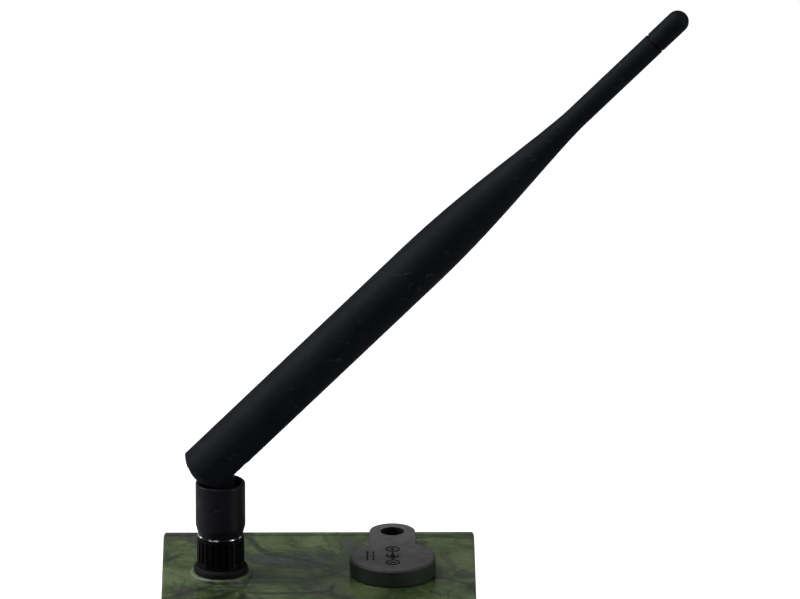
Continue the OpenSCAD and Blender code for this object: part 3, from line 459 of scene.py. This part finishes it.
def fresnel():
    """Milky lens sheet: a grid of square lenslets, each with fine rings."""
    p = Paint("fresnel_sheet", rough=0.34)
    axes = p.axes()
    half, ring = 1.98 * MM, 0.16 * MM           # half a lenslet, and the width of a ring
    across, down = [p.math("PINGPONG", p.math("ADD", axes[i], half), half) for i in ("X", "Z")]
    seam = p.step(p.math("MINIMUM", across, down), 0.05 * MM, 0.22 * MM)
    from_middle = [p.math("SUBTRACT", half, d) for d in (across, down)]
    radius = p.math("SQRT", p.math("ADD", *[p.both(d, d) for d in from_middle]))
    rings = p.math("DIVIDE", p.math("PINGPONG", radius, ring), ring)
    p.link(p.ramp(seam, [(0.0, (0.22, 0.22, 0.20)), (1.0, (0.44, 0.44, 0.41))]), "Base Color")
    p.relief(seam, 0.25, 0.8)
    p.relief(rings, 0.05, 0.6)
    p.roughness(p.noise(500.0, 2.0), 0.28, 0.42)
    p.set("Subsurface Weight", 0.20)
    p.set("Subsurface Radius", (0.002, 0.002, 0.002))
    p.set("Subsurface Scale", 1.0)
    return p.material


def screen():
    """Switched-off display: dark glass with faint smears."""
    p = Paint("display_glass", rough=0.36)
    smear = p.noise(45.0, 3.0, 0.6)
    p.drift(smear, (0.006, 0.008, 0.008), (0.012, 0.015, 0.015))
    p.roughness(smear, 0.30, 0.42)
    return p.material


def make_materials():
    """Every look, by its slot or by the name that OWN_LOOK or a new piece asks for."""
    return {
        "camo_shell": camo(),
        "black_rubber": moulded("antenna_rubber", (0.0036, 0.0040, 0.0052), 0.55, 0.03, spec=0.02, dust=0.8),
        "black_plastic": moulded("antenna_plastic", (0.0042, 0.0040, 0.0052), 0.4, 0.06, spec=0.05, dust=1.0),
        # Painted shade: the nut gets a darker, less glossy copy of the black plastic, standing in for the shade it
        # sits in.
        "shaded_nut_plastic": moulded("shaded_nut_plastic", (0.0010, 0.0010, 0.0012), 0.38, 0.03, spec=0.03, dust=0.2),
        "dark_plastic": moulded("bracket_plastic", (0.018, 0.019, 0.020), 0.5, 0.08),
        # The plug's top faces get a painted top light.
        "grey_rubber": moulded("plug_rubber", (0.0066, 0.0082, 0.0060), 0.62, 0.06,
                               spec=0.12, dust=0.4, painted_top_light=0.037),
        "dark_rubber": moulded("deep_rubber", (0.0030, 0.0030, 0.0028), 0.70, 0.06, spec=0.04, dust=0.2),
        "panel_plastic": moulded("panel_plastic", (0.036, 0.038, 0.040), 0.55, 0.10),
        "steel": metal("drawn_steel", (0.38, 0.39, 0.40), 0.34),
        "nickel": metal("nickel_plate", (0.70, 0.69, 0.66), 0.18),
        "nickel_with_painted_glints": glint_spotted_metal(),
        "brass": metal("turned_brass", (0.70, 0.50, 0.20), 0.24),
        "circuit_board": board(),
        "cell_wrap": cell_wrap(),
        "clear_glass": clear("coated_glass", (0.88, 0.92, 0.98), 0.0, 0.98),
        "dark_window": dark_window(),
        "cell_metal": metal("cell_end", (0.62, 0.61, 0.58), 0.28),
        "cell_band": moulded("cell_band", (0.42, 0.20, 0.07), 0.26, 0.01, spec=0.6),
        "fresnel": fresnel(),
        "led_epoxy": clear("led_epoxy", (0.55, 0.50, 0.62), 0.10, 0.60),
        "red_lens": clear("red_lens", (0.45, 0.03, 0.03), 0.08, 0.60),
        "screen": screen(),
        "card_blue": moulded("card_blue", (0.020, 0.050, 0.160), 0.42, 0.03),
        "card_pale": moulded("card_pale", (0.52, 0.53, 0.50), 0.45, 0.02),
        "key_red": moulded("key_red", (0.20, 0.025, 0.018), 0.6, 0.05),
        "red_lead": moulded("lead_red", (0.20, 0.015, 0.012), 0.5, 0.02),
    }


# ---------- pieces made from the frame ----------

WELD = 2e-6             # corners closer than this, in metres, are one
FLAT_ANGLE = 0.6        # faces within this many degrees are one face
SHARP_ANGLE = 32.0
BEVEL_ANGLE = 40.0

# Pieces whose look differs from the rest of their slot
OWN_LOOK = {"antenna_nut": "shaded_nut_plastic", "port_seal": "dark_rubber",
            "antenna_ferrule": "nickel_with_painted_glints", "antenna_pivot_pin": "black_rubber"}

# Width of the softened edges, in millimetres
EDGES = {
    "rear_case": 0.35, "back_plate": 0.3, "front_cover": 0.45, "port_plug": 0.45, "tree_bracket": 0.5,
    "latch_clip": 0.4, "battery_tray": 0.3, "inner_panel": 0.4, "antenna_collar": 0.18, "antenna_blade": 0.25,
    "antenna_nut": 0.12, "port_seal": 0.3, "lens_bezel": 0.25, "dc_jack": 0.15, "modem_module": 0.3,
    "key_up": 0.5, "key_down": 0.5, "key_left": 0.5, "key_right": 0.5, "key_ok": 0.5, "mode_switch": 0.3,
    "ir_window": 0.4, "sim_card": 0.1, "sd_card": 0.3, "tripod_bush": 0.3,
}


def welded(name):
    """An editable copy of a CAD node's mesh."""
    bm = bmesh.new()
    bm.from_mesh(frame["nodes"][name].data)
    bmesh.ops.remove_doubles(bm, verts=bm.verts, dist=WELD)
    return bm


def smooth_object(name, bm, look, sharp):
    """An object from a mesh, smooth-shaded except at edges over the sharp angle."""
    for face in bm.faces:
        face.smooth = True
    mesh = bpy.data.meshes.new(name)
    bm.to_mesh(mesh)
    bm.free()
    mesh.set_sharp_from_angle(angle=math.radians(sharp))
    mesh.materials.append(MATERIALS[look])
    made = bpy.data.objects.new(name, mesh)
    bpy.context.scene.collection.objects.link(made)
    return made


def add_bevel(piece, width, segments):
    edge = piece.modifiers.new("edges", "BEVEL")
    edge.width = width * MM
    edge.segments = segments
    edge.limit_method = "ANGLE"
    edge.angle_limit = math.radians(BEVEL_ANGLE)
    return edge


def remake(name, bevel):
    """A clean copy of a CAD node with softened edges; it replaces the node and rides on its body."""
    bm = welded(name)
    bmesh.ops.dissolve_limit(bm, angle_limit=math.radians(FLAT_ANGLE), verts=bm.verts, edges=bm.edges)
    piece = smooth_object(name + "_skin", bm, OWN_LOOK.get(name, SLOT_OF[name]), SHARP_ANGLE)
    if bevel:
        edge = add_bevel(piece, bevel, 3)
        edge.harden_normals = True
        edge.miter_outer = "MITER_ARC"
        even = piece.modifiers.new("normals", "WEIGHTED_NORMAL")
        even.keep_sharp = True
    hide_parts(name)
    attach(piece, BODY_OF[name])
    return piece


# ---------- new small pieces ----------

def new_piece(name, bm, body, slot, look=None, bevel=0.0, sharp=35.0):
    """A piece that the CAD doesn't draw; it rides on a body and takes its finish from a slot."""
    bmesh.ops.recalc_face_normals(bm, faces=bm.faces)
    piece = smooth_object(name, bm, look or slot, sharp)
    if bevel:
        add_bevel(piece, bevel, 2)
    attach(piece, body)
    return piece


def add_block(bm, low, high):
    corners = [bm.verts.new((x, y, z)) for x in (low[0], high[0]) for y in (low[1], high[1])
               for z in (low[2], high[2])]
    for quad in ((0, 1, 3, 2), (4, 6, 7, 5), (0, 4, 5, 1), (2, 3, 7, 6), (0, 2, 6, 4), (1, 5, 7, 3)):
        bm.faces.new([corners[i] for i in quad])


def add_tube(bm, points, radius, sides=8, closed=False):
    """A round wire along the points, capped unless it closes on itself."""
    count = len(points)
    turns = [2 * math.pi * k / sides for k in range(sides)]
    rings = []
    for i, point in enumerate(points):
        before = points[(i - 1) % count] if closed or i else point
        after = points[(i + 1) % count] if closed or i < count - 1 else point
        ahead = (after - before).normalized()
        side = ahead.cross(Vector((0, 0, 1)) if abs(ahead.z) < 0.9 else Vector((1, 0, 0))).normalized()
        up = side.cross(ahead)
        rings.append([bm.verts.new(point + radius * (side * math.cos(t) + up * math.sin(t))) for t in turns])
    for i in range(count if closed else count - 1):
        a, b = rings[i], rings[(i + 1) % count]
        for k in range(sides):
            bm.faces.new((a[k], a[(k + 1) % sides], b[(k + 1) % sides], b[k]))
    if not closed:
        bm.faces.new(rings[0])
        bm.faces.new(rings[-1])


def add_lathe(bm, profile, centre, up=1.0, steps=40):
    """Spins (radius, height, material) points about Z; a segment takes its first point's material."""
    turns = [2 * math.pi * k / steps for k in range(steps)]
    rings = []
    for radius, height, _ in profile:
        at = centre + Vector((0, 0, up * height))
        if radius == 0:
            rings.append([bm.verts.new(at)] * steps)
            continue
        rings.append([bm.verts.new(at + radius * Vector((math.cos(t), math.sin(t), 0))) for t in turns])
    for i in range(len(profile) - 1):
        a, b = rings[i], rings[i + 1]
        for k in range(steps):
            m = (k + 1) % steps
            corners = dict.fromkeys((a[k], a[m], b[m], b[k]))
            bm.faces.new(list(corners)).material_index = profile[i][2]


def islands(name):
    """Lowest and highest corner, and the points, of every separate solid in a CAD node."""
    bm = welded(name)
    found, seen = [], set()
    for start in bm.verts:
        if start.index in seen:
            continue
        seen.add(start.index)
        group, queue = [], [start]
        while queue:
            vert = queue.pop()
            group.append(vert.co.copy())
            for edge in vert.link_edges:
                other = edge.other_vert(vert)
                if other.index not in seen:
                    seen.add(other.index)
                    queue.append(other)
        low = Vector([min(c[i] for c in group) for i in range(3)])
        high = Vector([max(c[i] for c in group) for i in range(3)])
        found.append((low, high, group))
    bm.free()
    return found


def end_radii(low, high, points):
    """Radius of an upright solid at its bottom and at its top."""
    axis = ((low + high) / 2).xy
    near = 0.08 * MM
    return [max((q.xy - axis).length for q in points if abs(q.z - z) < near) for z in (low.z, high.z)]


def spring_line(low, high, radii, wire):
    """Centre line of a conical spring of the given wire radius that fills the box."""
    middle = (low + high) / 2
    turns, steps = 2.75, 20
    line = []
    for k in range(int(turns * steps) + 1):
        share = k / (turns * steps)
        r = radii[0] + (radii[1] - radii[0]) * share - wire
        t = 2 * math.pi * k / steps
        z = low.z + wire + (high.z - low.z - 2 * wire) * share
        line.append(Vector((middle.x + r * math.cos(t), middle.y + r * math.sin(t), z)))
    return line


def battery_contacts():
    """Conical wire springs, and plates with a pressed dimple, in place of the plain contacts."""
    springs, plates = bmesh.new(), bmesh.new()
    wire = 0.32 * MM
    thickest_plate = 1.0 * MM
    dimple = [(1.6 * MM, 0, 0), (1.0 * MM, 0.10 * MM, 0), (0, 0.12 * MM, 0)]
    lower_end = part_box("battery_tray")[0].z + 3 * MM
    for low, high, points in islands("battery_contacts"):
        if high.z - low.z >= thickest_plate:
            add_tube(springs, spring_line(low, high, end_radii(low, high, points), wire), wire)
            continue
        add_block(plates, low, high)
        middle = (low + high) / 2
        face, up = (high.z, 1.0) if middle.z < lower_end else (low.z, -1.0)
        add_lathe(plates, dimple, Vector((middle.x, middle.y, face)), up, 16)
    plate = new_piece("battery_plates", plates, BODY_OF["battery_contacts"], "nickel", bevel=0.08)
    new_piece("battery_springs", springs, BODY_OF["battery_contacts"], "nickel")
    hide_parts("battery_contacts")


def battery_cells():
    """AA cells with a printed sleeve, a band at the positive end and bare metal ends."""
    sleeve, end, band = range(3)
    cap = 1.3 * MM              # height of the positive cap
    bm = bmesh.new()
    for low, high, points in islands("battery_cells"):
        middle = (low + high) / 2
        wide = end_radii(low, high, points)
        up = 1.0 if wide[1] < wide[0] else -1.0
        foot = Vector((middle.x, middle.y, low.z if up > 0 else high.z))
        r, length = (high.x - low.x) / 2, high.z - low.z
        body = length - cap
        add_lathe(bm, [
            (0, 0, end), (r - 1.1 * MM, 0, end),
            (r - 0.9 * MM, 0.25 * MM, sleeve), (r - 0.35 * MM, 0.1 * MM, sleeve), (r, 0.55 * MM, sleeve),
            (r, 0.72 * body, band), (r, body - 0.7 * MM, band), (r - 0.3 * MM, body - 0.25 * MM, band),
            (r - 0.9 * MM, body - 0.15 * MM, end), (r - 1.2 * MM, body - 0.35 * MM, end),
            (3.4 * MM, body - 0.3 * MM, end), (2.75 * MM, body, end), (2.65 * MM, length - 0.2 * MM, end),
            (2.4 * MM, length, end), (0, length, end)], foot, up)
    piece = new_piece("cells", bm, BODY_OF["battery_cells"], "cell_wrap", sharp=50.0)
    piece.data.materials.append(MATERIALS["cell_metal"])
    piece.data.materials.append(MATERIALS["cell_band"])
    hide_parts("battery_cells")


def arc(centre, radius, start=0.0, end=360.0):
    """Points on a level arc, in degrees."""
    steps = 24
    turns = [math.radians(start + (end - start) * k / steps) for k in range(steps + 1)]
    return [centre + radius * Vector((math.cos(t), math.sin(t), 0)) for t in turns]


def plug_marks():
    """Generic direct-current and polarity signs in raised strokes on the plug."""
    low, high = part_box("port_plug")
    r = (high.x - low.x) / 2
    centre = Vector(((low.x + high.x) / 2, low.y + r, high.z))
    stroke = 0.20 * MM
    sign_at, sign_r, bar = 4.9, 1.7, 0.9        # the polarity signs' distance, radius and half bar, in mm
    bm = bmesh.new()

    def line(x0, y0, x1, y1):
        ends = [centre + Vector((x * MM, y * MM, 0)) for x, y in ((x0, y0), (x1, y1))]
        add_tube(bm, [ends[0].lerp(ends[1], k / 3) for k in range(4)], stroke)

    # A ring round a minus, then one round a plus, each with a lead towards the pin
    for side, lead_from in ((-1, -0.2), (1, 1.3)):
        ring = arc(centre + Vector((0, side * sign_at * MM, 0)), sign_r * MM)[:-1]
        add_tube(bm, ring, stroke, closed=True)
        line(-bar, side * sign_at, bar, side * sign_at)
        line(0, lead_from, 0, side * (sign_at - sign_r))
    line(0, sign_at - bar, 0, sign_at + bar)
    add_tube(bm, arc(centre, 1.5 * MM, 150, 390), stroke)
    add_tube(bm, arc(centre, 0.4 * MM)[:-1], 0.32 * MM, closed=True)
    # Direct current: a whole line beside a broken one
    line(-6.6, -3.0, -6.6, 3.0)
    for y in (-2.3, 0.0, 2.3):
        line(-5.0, y - 0.7, -5.0, y + 0.7)
    new_piece("plug_marks", bm, BODY_OF["port_plug"], "grey_rubber", "dark_rubber")


def key_marks():
    """A raised chevron on each direction key and a ring on the middle one."""
    chevron = [(-0.8, 1.9), (0.1, 0.95), (1.0, 0.0), (0.1, -0.95), (-0.8, -1.9)]
    turns = {"key_up": 90, "key_down": -90, "key_left": 180, "key_right": 0, "key_ok": None}
    for name, turn in turns.items():
        low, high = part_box(name)
        middle = Vector(((low.x + high.x) / 2, high.y, (low.z + high.z) / 2))
        bm = bmesh.new()
        if turn is None:
            path = [middle + Vector((v.x, 0, v.y)) for v in arc(Vector(), 1.9 * MM)[:-1]]
            add_tube(bm, path, 0.22 * MM, closed=True)
        else:
            c, s = math.cos(math.radians(turn)), math.sin(math.radians(turn))
            path = [middle + MM * Vector((x * c - y * s, 0, x * s + y * c)) for x, y in chevron]
            add_tube(bm, path, 0.24 * MM)
        new_piece(name + "_mark", bm, BODY_OF[name], "card_pale")


def tripod_thread():
    """The ridge of the quarter-inch thread inside the brass socket."""
    mount = next(m for m in frame["record"]["mounts"] if m["name"] == "tripod_socket")
    bore, depth = mount["dims"]["r_mm"] * MM, mount["dims"]["length_mm"] * MM
    pitch, steps = 1.27 * MM, 32
    start, end = 0.7 * MM, 0.5 * MM             # the bare bore below and above the ridge
    line = []
    for k in range(int((depth - start - end) / pitch * steps) + 1):
        t = 2 * math.pi * k / steps
        line.append(Vector((bore * math.cos(t), bore * math.sin(t), start + pitch * k / steps)))
    bm = bmesh.new()
    add_tube(bm, line, 0.26 * MM, sides=4)
    new_piece("tripod_thread", bm, BODY_OF["tripod_bush"], "brass")


def paint_eyelet_shade(piece):
    """Painted shade: the bore of the pull tab's eyelet gets the darker rubber, standing in for the shade inside
    it, so it is darker than the rest of the plug.
    """
    eye = next(o for o in frame["record"]["physics"]["openings"] if o["name"] == "pull_tab_eye")
    low, high = (Vector(v) for v in eye["box_m"])
    centre = ((low + high) / 2).xy
    reach = (high.x - low.x) / 2 * 1.6          # the stated opening is narrower than the bore
    piece.data.materials.append(MATERIALS["dark_rubber"])
    for face in piece.data.polygons:
        upright = abs(face.normal.z) < 0.5
        if upright and (face.center.xy - centre).length < reach:
            face.material_index = 1


def main():
    drawn_anew = {"battery_contacts", "battery_cells"}
    made = {n: remake(n, EDGES.get(n, 0.0)) for n in frame["nodes"] if n not in drawn_anew}
    paint_eyelet_shade(made["port_plug"])
    battery_contacts()
    battery_cells()
    plug_marks()
    key_marks()
    tripod_thread()


add_camera()
add_stage()
MATERIALS = make_materials()
main()
